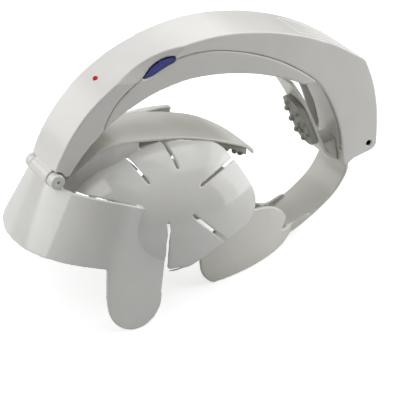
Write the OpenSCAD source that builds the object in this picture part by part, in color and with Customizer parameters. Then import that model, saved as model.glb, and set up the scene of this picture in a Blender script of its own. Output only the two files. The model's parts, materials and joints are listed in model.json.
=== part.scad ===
// Battery-powered scalp massager: a hinged front claw with two petalled side shells,
// a housing arch over the head and a hinged rear claw that cups the back of the head.
// Units are millimetres. +X runs from forehead to back, +Z is up, Y = 0 is the plane of symmetry.

/* [Overall] */
// pitch between the hinge frame and the table
pitch = 5.2; // [0:0.1:12]
// distance from the side view's origin to the middle of the bounding box
origin_x = 121.1; // [100:0.1:150]
// height of the side view's origin above the table
hinge_z = 96.84; // [80:0.01:120]

/* [Arch] */
// half width of the housing arch at the front hinge
arch_half = 15.4; // [12:0.1:20]
// growth of the half width per millimetre towards the back
arch_taper = 0.024; // [0:0.001:0.05]
// wall thickness of the two housing shells
wall = 2.2; // [1.5:0.1:4]
// thickness of the flat side walls
side_wall = 2; // [1.2:0.1:4]
// radius of the hinge barrel at the front end
barrel_r = 5.6; // [4:0.1:8]
// half width of the hinge barrel between the knuckles
barrel_half = 10.6; // [8:0.1:13]
// gap left open between the two housing shells
seam = 0.2; // [0:0.05:0.6]

/* [Front claw] */
// radius of the forehead band at its upper edge
band_r = 45; // [38:0.5:60]
// growth of the band radius per millimetre downwards
band_flare = 0.22; // [0:0.01:0.4]
// backward lean of the band per millimetre upwards
band_lean = 0.41; // [0:0.01:0.6]
// thickness of the claw shell
shell_t = 2.4; // [1.6:0.1:4]
// length of the head form
head_len = 168; // [140:1:200]
// width of the head form
head_wid = 124; // [100:1:150]
// height of the head form
head_hgt = 108; // [80:1:140]
// width of the slots between the petals
slot_w = 1.8; // [1:0.1:4]
// radius of the rounded end of the temple tabs
tab_r = 20.3; // [12:0.1:26]

/* [Hinges] */
// radius of the hinge pins
pin_r = 1.5; // [1:0.05:3]
// running clearance between a pin and its knuckle
pin_gap = 0.06; // [0.02:0.01:0.1]
// end gap between neighbouring knuckles
knuckle_gap = 0.35; // [0.3:0.05:0.8]

/* [Rear claw] */
// half width of the rear strap
strap_half = 16.5; // [12:0.5:22]
// thickness of the rear strap and lobes
strap_t = 2.6; // [1.8:0.1:4]
// plan radius of the lobes
lobe_r = 166; // [120:1:220]
// half distance between the lobes at the table
lobe_half = 41; // [30:0.5:55]

/* [Power] */
// radius of a battery cell
cell_r = 5.2; // [5:0.05:7.2]
// length of a battery cell
cell_len = 44.5; // [40:0.5:51]
// radius of the charging socket mouth
jack_r = 2.15; // [1.5:0.05:3]

/* [Hidden] */
$fn = 64;
C = [84, 0, -47];
front_pin = [2, -2.8];
tab_mid = [31.2, -79.7];
rear_pin = [237, -55];
key_mid = [79.3, 56.4];
key_ang = 19;
board_mid = [80.2, 53.3];
lamp = [42.8, 51.4];
cell_mid = [214.6, 25.95];
cell_ang = -30.8;
jack = [251.1, -20.8, -53.8];

// ---------- helpers ----------
// points of one arc that starts at p, heads along angle a and turns right by d degrees
function turn(p, a, r, d, n) =
  [for (i = [1:n]) let (t = d * i / n) p + r * [sin(a) - sin(a - t), cos(a - t) - cos(a)]];
function chain(p, a, segs, n, i = 0) =
  i == len(segs) ? [] :
  let (s = turn(p, a, segs[i][0], segs[i][1], n))
  concat(s, chain(s[n - 1], a - segs[i][1], segs, n, i + 1));
function flip(v) = [for (i = [len(v) - 1:-1:0]) v[i]];
function unit(v) = v / norm(v);
// half width of the head form at a point of the side view
function head_y(x, z) =
  head_wid / 2 * sqrt(max(0, 1 - pow((x - C[0]) / (head_len / 2), 2) - pow((z - C[2]) / (head_hgt / 2), 2)));
// smooth curve through the given points
function cr(p, t) = 0.5 * ((2 * p[1]) + (p[2] - p[0]) * t + (2 * p[0] - 5 * p[1] + 4 * p[2] - p[3]) * t * t
  + (3 * p[1] - p[0] - 3 * p[2] + p[3]) * t * t * t);
function smooth(v, n) = concat([v[0]], [for (i = [0:len(v) - 2], k = [1:n])
  cr([v[max(i - 1, 0)], v[i], v[i + 1], v[min(i + 2, len(v) - 1)]], k / n)]);
// points moved sideways from a curve, to the right of its direction
function shift(v, d) = [for (i = [0:len(v) - 1])
  let (t = unit(v[min(i + 1, len(v) - 1)] - v[max(i - 1, 0)])) v[i] + d * [t[1], -t[0]]];
function ribbon(v, a, b) = concat(shift(v, a), flip(shift(v, b)));

module at_home() translate([-origin_x, 0, hinge_z]) rotate([0, -pitch, 0]) children();
module side(w) rotate([90, 0, 0]) linear_extrude(w, center = true) children();
module both() { children(); mirror([0, 1, 0]) children(); }
module rod(p, r, l) translate([p[0], 0, p[1]]) rotate([90, 0, 0]) cylinder(r = r, h = l, center = true);
module local(p, a) translate([p[0], 0, p[1]]) rotate([0, -a, 0]) children();
function half_w(x) = arch_half + arch_taper * x;
module plan_2d(d) polygon([[-20, d - arch_half], [0, d - arch_half], [280, d - half_w(280)],
  [280, half_w(280) - d], [0, arch_half - d], [-20, arch_half - d]]);
// side view spread over the tapered width of the arch, d inside its faces
module wedge(d) intersection() {
  side(60) children();
  translate([0, 0, -100]) linear_extrude(220) plan_2d(d);
}
// frame on the near face of the arch, +Y points into the arch
module on_face() translate([0, -arch_half, 0]) rotate([0, 0, -atan(arch_taper)]) children();

// ---------- side view of the arch ----------
outer = concat([[0, 0]], chain([0, 0], 70.2, [[97.8, 48.93], [146.9, 31.19], [233.8, 29.57]], 12));
back = chain([244, 15.5], -62.65, [[125.4, 26.22]], 8);
rear_edge = concat([[204.4, 9.3]], chain([204.4, 9.3], -53.57, [[123.6, 35.49]], 8));
inner = concat([[11.5, -2.5]], chain([11.5, -2.5], 53.45, [[109.2, 63.14], [200.5, 23.2]], 10));
seam_line = concat([[37.1, 23.2]],
  chain([37.1, 23.2], 72.35, [[42.2, 37.94], [83.8, 49.98], [184.2, 29.6]], 8));

module arch_2d() polygon(concat(outer, [[244, 15.5]], back, [[258.5, -54.5], [257.9, -57.4], [256.1, -59.6],
  [253.3, -60.5], [238.5, -62.6], [231.7, -67.35]], flip(rear_edge), flip(inner)));
module lower_2d() polygon(concat(seam_line, [[204.4, 8], [192, 4], [37.1, 0]]));
module hollow_2d() offset(delta = -wall) arch_2d();
// passage for the rear claw plate between the side walls
module rear_gap_2d() polygon([[200, 5], [210.5, 6.5], [220, -3], [229, -22], [235, -42], [243.3, -54], [243.3, -80],
  [226, -80], [220, -60], [212, -20]]);

module boss(p, a, l, r) local(p, a) translate([0, 0, -l / 2]) cylinder(r = r, h = l);
screw_at = [[112, 54.7, 0, 26], [160, 43.9, -21, 27]];

module arch_outer_shell() at_home() color([0.80, 0.79, 0.77]) {
  difference() {
    union() {
      difference() {
        wedge(0) difference() { arch_2d(); lower_2d(); }
        wedge(side_wall) hollow_2d();
        wedge(side_wall) rear_gap_2d();
      }
      rod(front_pin, barrel_r, 2 * barrel_half);
      intersection() {
        wedge(0) arch_2d();
        for (s = screw_at, y = [-8, 8]) translate([0, y, 0]) local([s[0], s[1]], s[2])
          translate([0, 0, -4]) cylinder(r = 3, h = s[3] / 2 + 9);
      }
      both() translate([rear_pin[0], 15.2, rear_pin[1]]) rotate([90, 0, 0]) cylinder(r = 4.2, h = 8.8, center = true);
    }
    rod(front_pin, pin_r + pin_gap, 34);
    // room for the knuckles of the front claw
    both() translate([0, barrel_half + 5, 0]) rod(front_pin, barrel_r + 0.5, 10);
    rod(rear_pin, pin_r, 37);
    // opening for the key
    on_face() side(6) key_2d();
    // battery hatch
    local(cell_mid, cell_ang) translate([-30.95, -13.25, 5]) cube([61.7, 26.5, 14]);
    for (s = screw_at, y = [-8, 8]) translate([0, y, 0]) local([s[0], s[1]], s[2])
      translate([0, 0, -6]) cylinder(r = 1.25, h = s[3] / 2 + 3);
    // power light
    translate([0, 2.6, 0]) local(lamp, 30) cylinder(r = 1.55, h = 12, center = true);
    // socket hole
    translate(jack) rotate([90, 0, 0]) cylinder(r = jack_r, h = 5, center = true);
    // finger slot of the battery hatch
    local(cell_mid, cell_ang) translate([17.5, half_w(236) - 3.2, 5.4]) cube([8.5, 1.8, 10]);
  }
}

module arch_inner_shell() at_home() color([0.74, 0.74, 0.71]) {
  difference() {
    union() {
      difference() {
        wedge(0) intersection() { arch_2d(); translate([0, -seam]) lower_2d(); }
        wedge(side_wall) hollow_2d();
      }
      for (s = screw_at, y = [-8, 8]) translate([0, y, 0]) local([s[0], s[1]], s[2])
        translate([0, 0, -s[3] / 2]) cylinder(r = 3.4, h = s[3] / 2 - 4.2);
      // rails that hold the circuit board
      intersection() {
        wedge(0) arch_2d();
        for (u = [-17, 13]) on_face() local(board_mid, key_ang) translate([u, 8, -20]) cube([2, 6, 12.9]);
      }
    }
    for (s = screw_at, y = [-8, 8]) translate([0, y, 0]) local([s[0], s[1]], s[2]) {
      translate([0, 0, -s[3] / 2 - 6]) cylinder(r = 1.35, h = s[3]);
      translate([0, 0, -s[3] / 2 - 6]) cylinder(r = 2.4, h = 10);
    }
    on_face() side(6) key_2d();
    wedge(side_wall) rear_gap_2d();
  }
}

// ---------- key, light and board ----------
module key_2d() polygon(concat([[66.3, 51.1]], turn([66.3, 51.1], 50.1, 29.8, 55.3, 10),
  [[91.45, 57.5], [84.7, 55.8], [79.1, 53.8], [73.2, 51.7]]));
module mode_key() at_home() on_face() color([0.16, 0.18, 0.62]) {
  translate([0, 1.6, 0]) side(1.8) offset(delta = -0.4) key_2d();
  translate([0, 3.05, 0]) side(1.3) offset(delta = 1.2) key_2d();
  local(key_mid, key_ang) translate([0, 5.25, 2]) rotate([90, 0, 0]) cylinder(r = 1.5, h = 3.2);
}
module switch_plunger() at_home() on_face() color([0.12, 0.12, 0.12])
  local(key_mid, key_ang) translate([0, 7.3, 2]) rotate([90, 0, 0]) cylinder(r = 1.7, h = 2);
module switch_body() at_home() on_face() color([0.25, 0.25, 0.26])
  local(key_mid, key_ang) difference() {
    translate([-3, 6.4, -1]) cube([6, 4, 6]);
    translate([0, 9.6, 2]) rotate([90, 0, 0]) cylinder(r = 1.75, h = 6);
  }
module circuit_board() at_home() on_face() color([0.10, 0.35, 0.20])
  local(board_mid, key_ang) {
    translate([-20, 10.4, -7]) cube([37, 1.2, 12]);
    translate([6, 11.6, -3]) cube([7, 1.6, 5]);
    translate([-14, 11.6, -4]) cube([5, 2, 5]);
  }
module power_light_lens() at_home() color([0.85, 0.05, 0.08])
  translate([0, 2.6, 0]) local(lamp, 30) translate([0, 0, -2.6]) cylinder(r = 1.5, h = 3);
module power_light_diode() at_home() color([0.9, 0.3, 0.25])
  translate([0, 2.6, 0]) local(lamp, 30) {
    translate([0, 0, -6.6]) cylinder(r = 1.5, h = 3.9);
    translate([0, 0, -7.4]) cylinder(r = 1.9, h = 0.9);
  }

// ---------- vibration motors ----------
module motor_can(p, r) translate([p[0], 0, p[1]]) {
  translate([0, 2.5, 0]) rotate([90, 0, 0]) cylinder(r = r, h = 15);
  translate([0, 3.7, 0]) rotate([90, 0, 0]) difference() {
    cylinder(r = 2.6, h = 1.3);
    translate([0, 0, -1]) cylinder(r = 1.15, h = 4);
  }
}
module motor_weight(p, r) translate([p[0], 0, p[1]]) rotate([90, 0, 0]) {
  translate([0, 0, -11]) difference() {
    cylinder(r = r, h = 6);
    translate([-r - 1, 0.8, -1]) cube([2 * r + 2, r + 2, 8]);
    translate([-r - 1, -r - 2, 3]) cube([0.1, 0.1, 0.1]);
  }
  translate([0, 0, -11]) cylinder(r = 2.4, h = 6);
  translate([0, 0, -11]) cylinder(r = 1, h = 7.6);
}
module front_motor() at_home() color([0.70, 0.71, 0.73]) motor_can([38.3, 36], 7);
module front_motor_weight() at_home() color([0.75, 0.62, 0.30]) motor_weight([38.3, 36], 5.8);
module rear_motor() at_home() color([0.70, 0.71, 0.73]) motor_can([246, -28], 7.7);
module rear_motor_weight() at_home() color([0.75, 0.62, 0.30]) motor_weight([246, -28], 6.5);

// ---------- power ----------
module battery_cradle() at_home() color([0.82, 0.82, 0.80])
  local(cell_mid, cell_ang) difference() {
    translate([-27, -12.7, -15.8]) cube([54, 25.4, 18.4]);
    translate([-25.4, -11.5, -14.8]) cube([50.8, 23, 22]);
  }
module cell_row() { for (y = [-5.4, 5.4]) translate([0, y, 0]) children(); translate([0, 0, -9.2]) children(); }
module battery_cells() at_home() color([0.20, 0.45, 0.30])
  local(cell_mid, cell_ang) cell_row() rotate([0, 90, 0]) {
    cylinder(r = cell_r, h = cell_len - 1, center = true);
    translate([0, 0, cell_len / 2 - 0.6]) cylinder(r = 1.9, h = 1.1);
  }
module battery_plates() at_home() color([0.80, 0.80, 0.78])
  local(cell_mid, cell_ang) for (x = [-25.35, 24.9]) {
    translate([x, -9.5, -4]) cube([0.4, 19, 6]);
    translate([x, -4, -14]) cube([0.4, 8, 10.4]);
  }
module battery_springs() at_home() color([0.78, 0.78, 0.76])
  local(cell_mid, cell_ang) cell_row() for (k = [0:2])
    translate([-24.55 + 0.55 * k, 0, 0]) rotate([0, 90, 0])
      rotate_extrude() translate([3 - 0.42 * k, 0]) circle(r = 0.4, $fn = 16);
module battery_hatch() at_home() color([0.80, 0.79, 0.77]) {
  intersection() {
    side(26) difference() { arch_2d(); offset(delta = -wall) arch_2d(); }
    local(cell_mid, cell_ang) translate([-30.7, -13, 5.2]) cube([61.2, 26, 14]);
  }
}
module charge_socket() at_home() color([0.10, 0.10, 0.11])
  translate(jack) difference() {
    union() {
      translate([-4.2, 1.6, -3.4]) cube([7.4, 9.5, 6.8]);
      rotate([-90, 0, 0]) cylinder(r = jack_r - 0.15, h = 2);
    }
    rotate([-90, 0, 0]) translate([0, 0, -1]) cylinder(r = 1.85, h = 4);
    rotate([-90, 0, 0]) cylinder(r = 1.65, h = 9);
    rotate([-90, 0, 0]) cylinder(r = 0.6, h = 20);
  }
module charge_pin() at_home() color([0.80, 0.80, 0.80])
  translate(jack) rotate([-90, 0, 0]) translate([0, 0, 3.7]) cylinder(r = 0.6, h = 7.4);
module housing_screws() at_home() color([0.60, 0.60, 0.62])
  for (s = screw_at, y = [-8, 8]) translate([0, y, 0]) local([s[0], s[1]], s[2]) {
    translate([0, 0, -s[3] / 2 + 2.4]) cylinder(r = 2.2, h = 1.6);
    translate([0, 0, -s[3] / 2 + 3.5]) cylinder(r = 1.2, h = 14);
  }

// ---------- front claw ----------
module lean_cone(t) multmatrix([[1, 0, band_lean, 0], [0, 1, 0, 0], [0, 0, 1, 0], [0, 0, 0, 1]])
  translate([0, 0, -102]) cylinder(r1 = band_r + band_flare * 102 - t, r2 = band_r - band_flare * 10 - t, h = 112);
// U-shaped wall: leaning half cone in front, flat temples behind it
module half(front) translate([band_r, 0, -8]) rotate([0, atan(band_lean), 0])
  translate([front ? -120 : -0.05, -90, -120]) cube([120.05, 180, 150]);
module band_wall() {
  intersection() {
    translate([band_r, 0, -8]) difference() { lean_cone(0); lean_cone(shell_t); }
    half(true);
    side(170) band_side_2d();
  }
  both() intersection() {
    translate([0, -band_r, -8]) rotate([-atan(band_flare), 0, 0]) translate([-20, 0, -100]) cube([90, shell_t, 110]);
    half(false);
    side(170) band_side_2d();
  }
}
band_top = [for (x = [-40:6:56]) [x, -8 - 0.0062 * x * max(x, 0)]];
module band_side_2d() polygon(concat(band_top, [[53.5, -31], [50, -38], [48.5, -46], [50, -52], [54, -56.5],
  [57.4, -59.5], [56.7, -61.9], [54.2, -70.2], tab_mid + [tab_r, 0]], turn(tab_mid + [tab_r, 0], -90, tab_r, 180, 20),
  [[11.2, -70], [11.8, -53.2], [5, -51.2], [-2.3, -49.7], [-12.6, -48], [-24, -46.8], [-40, -46.6]]));
// head form shrunk by t on every side
module head_form(t) translate(C) scale([(head_len - 2 * t) / (head_wid - 2 * t), 1,
  (head_hgt - 2 * t) / (head_wid - 2 * t)]) sphere(r = head_wid / 2 - t, $fn = 96);
module head_shell() difference() {
  head_form(0);
  head_form(shell_t);
}
// outline of one petalled dome, seen square to its middle
module petal_2d() hull() {
  translate([49.5, -12]) circle(r = 16.5);
  translate([36, 17]) circle(r = 15);
  translate([-14, 21]) circle(r = 22);
  translate([-43, 19]) circle(r = 12);
  translate([10, -22]) circle(r = 22);
}
// cut that follows the surface from p to q
module cut(p, q, w, more) {
  m = (p + q) / 2 - C;
  n0 = unit([m[0] / pow(head_len, 2), m[1] / pow(head_wid, 2), m[2] / pow(head_hgt, 2)]);
  u = unit(q - p);
  v = unit(cross(n0, u));
  n = cross(u, v);
  multmatrix([[u[0], v[0], n[0], p[0]], [u[1], v[1], n[1], p[1]], [u[2], v[2], n[2], p[2]], [0, 0, 0, 1]]) {
    translate([0, -w / 2, -16]) cube([norm(q - p) + more, w, 32]);
    translate([0, 0, -16]) cylinder(r = w / 2, h = 32, $fn = 24);
  }
}
slots = [
  [[55.9, -39.5, -9.5], [50.8, -5.6, 2.4]], [[78.1, -39.4, -5.5], [79.4, -15.6, 5.2]],
  [[88.8, -51.3, -16.9], [122.6, -39, -13.1]], [[77.6, -59.4, -32.2], [111.8, -51.2, -71.7]],
  [[59.5, -57.2, -33.4], [62.3, -52.8, -71.6]]];
module dome() difference() {
  intersection() {
    head_shell();
    translate([65.5, -50.5, -18]) rotate([0, 0, -10]) rotate([50, 0, 0])
      translate([0, 0, -60]) linear_extrude(105) petal_2d();
  }
  for (s = slots) cut(s[0], s[1], slot_w, 14);
  // free edge of the front petal and the part hidden by the temple
  side(160) polygon([[44, -21.5], [31, -17.6], [18, -17], [-40, -16.6], [-40, -120], [61.8, -120], [61.4, -62],
    [60.2, -46], [57.2, -59], [50, -57], [42, -50], [38.5, -44], [38, -36], [40, -28]]);
  translate([-50, 0, -150]) cube([300, 100, 200]);
  // room for the crown finger
  side(42.4) polygon(ribbon(finger_top, -8, finger_t + 0.6));
}
module front_shell() at_home() color([0.78, 0.78, 0.76]) {
  difference() {
    union() {
      band_wall();
      both() dome();
      both() translate([0, (barrel_half + knuckle_gap + 16) / 2, 0]) {
        rod(front_pin, barrel_r, 16 - barrel_half - knuckle_gap);
        translate([-2.2, -(16 - barrel_half - knuckle_gap) / 2, -14]) cube([7.4, 16 - barrel_half - knuckle_gap, 9]);
      }
      // seat of the crown finger
      side(17.6) polygon(concat([for (p = shift(finger_top, finger_t)) if (p[0] < 10.5) p],
        [[10, -17.5], [-5, -17.5], [-2, -14.2]]));
    }
    rod(front_pin, pin_r, 60);
    rod(front_pin, barrel_r + 0.6, 2 * (barrel_half + knuckle_gap));
    both() translate([0, 16.2, 0]) rod(front_pin, 0.9, 0.8);
  }
}
module front_hinge_pin() at_home() color([0.70, 0.70, 0.72]) rod(front_pin, pin_r, 31);

finger_t = 2.3;
finger_top = smooth([[2.5, -10.8], [9, -8.4], [18, -2.6], [28, 5], [36, 10.4], [46, 12.4], [60, 10.6], [78, 6.4],
  [96, 1.6], [112, -4.4], [125, -10], [138, -17.2], [150, -25.6], [160, -35.2], [165.5, -42]], 3);
finger_edge = smooth([[2, 8.8], [9, 9.4], [18, 13], [34, 15.4], [44, 18.4], [70, 19.4], [100, 20.6], [124, 21.4], [140, 18.6],
  [152, 12.6], [160, 6.6], [164.5, 2], [165.5, 0]], 2);
module crown_finger() at_home() color([0.80, 0.79, 0.75]) {
  intersection() {
    side(60) polygon(ribbon(finger_top, 0, finger_t));
    translate([0, 0, -60]) linear_extrude(100) polygon(concat(finger_edge, flip([for (p = finger_edge) [p[0], -p[1]]])));
  }
}
pad_top = [for (p = finger_top) if (p[0] > 109 && p[0] < 157) p];
module crown_pad() at_home() color([0.55, 0.55, 0.52]) {
  intersection() {
    side(32) polygon(ribbon(pad_top, finger_t, 6));
    translate([0, 0, -60]) linear_extrude(90) hull() {
      translate([124, 0]) circle(r = 14.5);
      translate([147, 0]) circle(r = 8.5);
    }
  }
  for (p = [[114, -12, -8], [114, -12, 6], [124, -16.8, -10], [124, -16.8, 0], [124, -16.8, 10], [134, -22.2, -9],
    [134, -22.2, 4], [144, -29, -6], [144, -29, 5], [150, -34, 0]])
    translate([p[0] - 2.4, p[2], p[1] - 0.4]) sphere(r = 2.4, $fn = 24);
}
// pad with nubs on the inside of a petal
module petal_pad(x, z) {
  y = head_y(x, z);
  n = unit([(x - C[0]) / pow(head_len, 2), -y / pow(head_wid, 2), (z - C[2]) / pow(head_hgt, 2)]);
  u = unit(cross([0, 1, 0], n));
  v = cross(n, u);
  p = [x, -y, z] - shell_t * n;
  frame = [[u[0], v[0], n[0], p[0]], [u[1], v[1], n[1], p[1]], [u[2], v[2], n[2], p[2]], [0, 0, 0, 1]];
  multmatrix(frame) {
    translate([0, 0, -3]) cylinder(r = 7, h = 2.15);
    translate([0, 0, -0.9]) cylinder(r = 2.5, h = 0.78);
  }
  multmatrix(frame) for (a = [0:72:359]) rotate(a) translate([4.2, 0, -2.8]) sphere(r = 1.6, $fn = 16);
}
pad_at = [[42, -8], [67, -1.5], [97, -5], [116, -36], [86, -55]];
module near_petal_pads() at_home() color([0.55, 0.55, 0.52]) for (p = pad_at) petal_pad(p[0], p[1]);
module far_petal_pads() at_home() color([0.55, 0.55, 0.52]) mirror([0, 1, 0]) for (p = pad_at) petal_pad(p[0], p[1]);

// ---------- rear claw ----------
plate_line = smooth([[212, 1], [217, -8.4], [222, -19], [226.2, -29], [229.6, -41], [232.2, -54], [235, -68],
  [234, -76], [225.5, -87.6], [213.5, -96], [203, -101.4], [192, -106.2], [180, -109], [168, -109.2], [160, -109]], 3);
strap_line = [for (i = [0:len(plate_line) - 1]) plate_line[i]];
function below(x) = (-hinge_z - x * sin(pitch)) / cos(pitch);
module lobe_2d() intersection() {
  polygon(smooth([[184, -102.4], [176, -99.6], [171.8, -96.6], [176.8, -93], [177.4, -88], [171.8, -80],
  [163, -71.6], [152.8, -65], [140, -60], [124, -57.4], [108, -60], [98, -67.6], [93.6, -79], [94, -90], [97.6, -99.4],
  [106, below(106)], [122, below(122)], [146, below(146)], [166, below(166)], [177, below(177) + 1], [186, -110.2],
  [195, -106.4], [204, -101.8], [203, -99.6], [197, -100.8], [191, -102.3], [184, -102.4]], 4));
  polygon([[60, below(60)], [260, below(260)], [260, -20], [60, -20]]);
}
module lobe_cone(t) translate([100, lobe_r - lobe_half, -114])
  cylinder(r1 = lobe_r - t, r2 = lobe_r + 5 - t, h = 64, $fn = 180);
module palm_plan() union() {
  intersection() {
    lobe_cone(0);
    mirror([0, 1, 0]) lobe_cone(0);
    translate([80, -60, -114]) cube([109, 120, 64]);
  }
  translate([186, -strap_half, -114]) cube([60, 2 * strap_half, 64]);
}
module rear_cradle() at_home() color([0.79, 0.78, 0.74]) {
  difference() {
    union() {
      // lobes
      both() intersection() {
        difference() { lobe_cone(0); lobe_cone(strap_t); }
        translate([80, -60, -130]) cube([108.5, 60, 90]);
        side(130) lobe_2d();
      }
      // short walls that join the lobes to the strap
      both() intersection() {
        translate([183, -strap_half, -130]) cube([24, strap_t, 60]);
        side(130) lobe_2d();
      }
      // palm and strap
      intersection() {
        side(60) polygon(ribbon([for (p = strap_line) if (p[1] < -61) p], 0, -strap_t));
        palm_plan_all();
      }
      // plate inside the arch
      side(24.4) polygon(ribbon([for (p = strap_line) if (p[1] > -77 && p[0] > 205) p], 0, -strap_t));
      // hinge knuckle
      rod(rear_pin, 4.4, 18);
    }
    rod(rear_pin, pin_r + pin_gap, 20);
    // room for the hinge bosses of the arch
    both() translate([0, 13.7, 0]) rod(rear_pin, 4.6, 6.6);
  }
}
module palm_plan_all() union() {
  palm_plan();
  translate([186, -strap_half, -120]) cube([60, 2 * strap_half, 60]);
}
module rear_hinge_pin() at_home() color([0.70, 0.70, 0.72]) rod(rear_pin, pin_r, 36.8);

rear_finger_line = smooth([[231.6, -67.4], [225, -63], [219.6, -56], [214.2, -45], [208.4, -31], [200.9, -14],
  [193, 0.2], [187.4, 8.8]], 4);
module rear_finger() at_home() color([0.80, 0.79, 0.75]) {
  intersection() {
    side(30) polygon(ribbon(rear_finger_line, 0, 2.4));
    rotate([90, 0, 90]) linear_extrude(300) hull() {
      translate([-6, -70]) square([12, 4]);
      translate([0, -38]) circle(r = 11.5);
      translate([0, -8]) circle(r = 11);
      translate([0, 1]) circle(r = 9);
    }
  }
  translate([228.4, -5.5, -69]) cube([5.6, 11, 4.4]);
}
rear_pad_line = [for (p = rear_finger_line) if (p[1] < 1 && p[1] > -54) p];
module rear_pad() at_home() color([0.55, 0.55, 0.52]) {
  intersection() {
    side(30) polygon(ribbon(rear_pad_line, 2.4, 7.6));
    rotate([90, 0, 90]) linear_extrude(300) hull() {
      translate([0, -42]) circle(r = 10.2);
      translate([0, -11]) circle(r = 10.4);
    }
  }
  for (k = [[1, -5.4], [1, 4], [3, -1], [5, -7], [5, 6], [7, 0], [9, -6.4], [9, 5.4], [11, -0.6]])
    let (p = shift(rear_pad_line, 8.1)[k[0]]) translate([p[0], k[1], p[1]]) sphere(r = 2.7, $fn = 24);
}

arch_outer_shell();
arch_inner_shell();
mode_key();
switch_plunger();
switch_body();
circuit_board();
power_light_lens();
power_light_diode();
front_motor();
front_motor_weight();
rear_motor();
rear_motor_weight();
battery_cradle();
battery_cells();
battery_plates();
battery_springs();
battery_hatch();
charge_socket();
charge_pin();
housing_screws();
front_shell();
front_hinge_pin();
crown_finger();
crown_pad();
near_petal_pads();
far_petal_pads();
rear_cradle();
rear_hinge_pin();
rear_finger();
rear_pad();
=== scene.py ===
"""Electric scalp massager: moulded arch, petalled front claw and padded rear claw on the CAD frame.

Shapes are worked out in millimetres in the side view's own frame (x to the back, z up, origin by the
front hinge) and then placed in the row frame by home().
"""

import json
import math

import bmesh
import bpy
import numpy as np
from mathutils import Matrix, Vector


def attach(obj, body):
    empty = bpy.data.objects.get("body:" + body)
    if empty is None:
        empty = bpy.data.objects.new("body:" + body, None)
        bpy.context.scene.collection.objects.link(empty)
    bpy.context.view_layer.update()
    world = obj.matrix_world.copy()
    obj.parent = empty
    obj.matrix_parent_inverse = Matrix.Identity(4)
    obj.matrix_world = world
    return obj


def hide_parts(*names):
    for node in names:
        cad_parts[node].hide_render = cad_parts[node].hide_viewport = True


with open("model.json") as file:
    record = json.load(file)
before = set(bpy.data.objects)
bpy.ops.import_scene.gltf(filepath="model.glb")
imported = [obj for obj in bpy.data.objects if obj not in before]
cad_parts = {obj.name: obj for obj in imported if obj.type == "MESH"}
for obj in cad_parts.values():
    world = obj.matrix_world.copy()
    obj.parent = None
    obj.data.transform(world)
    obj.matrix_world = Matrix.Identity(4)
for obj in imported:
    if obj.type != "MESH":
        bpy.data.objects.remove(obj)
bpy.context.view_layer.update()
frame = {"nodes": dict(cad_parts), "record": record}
scene = bpy.context.scene
NODES = frame["nodes"]

# ---------------------------------------------------------------- driving sizes, mm and degrees
PITCH = math.radians(5.2)
ORIGIN_X = 121.1
HINGE_Z = 96.84
ARCH_HALF = 15.4
ARCH_TAPER = 0.024
SIDE_WALL = 2.0
FRONT_PIN = (2.0, -2.8)
REAR_PIN = (237.0, -55.0)
BARREL_R = 5.6
BARREL_HALF = 10.6
PIN_HOLE_R = 1.9
RUN_GAP, RUN_END = 0.5, 22           # room round the barrel for what turns there, and its far end
BOSS_R, BOSS_IN, BOSS_OUT = 4.2, 10.8, 19.6
BAND_R, BAND_FLARE, BAND_LEAN = 45.0, 0.22, 0.41
SHELL_T = 2.4
HEAD_C = np.array([84.0, 0.0, -47.0])
HEAD_HALF = np.array([84.0, 62.0, 54.0])
BAND_TOP = -8.0                      # z at which BAND_R holds
STRAP_T = 2.6
LOBE_X, LOBE_R, LOBE_HALF = 100.0, 166.0, 41.0
LOBE_FOOT, LOBE_SLOPE = -114.0, 5.0 / 64.0
CELL_MID, CELL_ANG = (214.6, 25.95), -30.8
KEY_MID, KEY_ANG = (79.3, 56.4), 19.0
BOARD_MID = (80.2, 53.3)
LAMP, LAMP_ANG, LAMP_Y, LAMP_R, LAMP_HALF = (42.8, 51.4), 30.0, 2.6, 1.55, 9
JACK = (251.1, -20.8, -53.8)
JACK_MOUTH_R, JACK_MOUTH_IN = 2.15, 1.7
FRONT_MOTOR, REAR_MOTOR = (38.3, 36.0), (246.0, -28.0)
SCREWS = ((112.0, 54.7, 0.0, 26.0), (160.0, 43.9, -21.0, 27.0))      # x, z, angle, wall height
SCREW_Y, SCREW_RECESS_R, SCREW_RECESS_W = 8.0, 2.4, (-6, 4)          # w from the wall's lower end
SEAM_X, LINER_X = 37.1, 37.4         # where the seam between the two mouldings starts
SEAM_GAP = 0.32
SCOOP_MID = (64.0, -85.5, 96.0)      # from the near face of the arch, +y into the arch
SCOOP_R = 96.5
KEY_SLOT_Y = (-4, 4.9)
KEY_Y, KEY_ROOM = (0.9, 3.6), 0.8
MOTOR_ROOM_Y = (-13.2, 11.6)
FRONT_MOTOR_ROOM_R, REAR_MOTOR_ROOM_R = 8.0, 8.5
# boxes, each from and to along x, y and z of the place that it is set at
PLUNGER_ROOM = (-2, 2, 4.4, 7, 0, 4)
SWITCH_ROOM = (-3.4, 3.4, 6.2, 10.6, -1.4, 5.4)
BOARD_ROOM = (-20.5, 17.5, 10, 13.6, -7.5, 5.4)
CELL_ROOM = (-27.3, 27.3, -12.9, 12.9, -16, 12)
SOCKET_ROOM = (-4.6, 3.6, 1.6, 11.4, -3.8, 3.8)
HATCH_HOLE = (-30.95, 30.75, -13.25, 13.25, 6.2, 16)
HATCH_BOX = (-30.7, 30.5, -14, 14, 5.2, 19.2)
HATCH_T, HATCH_HALF = 2.2, 13.0
HATCH_X, HATCH_BACK = 150, 10        # x from which the top, and points of BACK, belong to the hatch
CATCH = (17.5, 26, 3.2, 1.4, 5.4, 16)                                # slot beside it, y inwards from the side
CATCH_X = 236                        # where that side is taken

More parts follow.
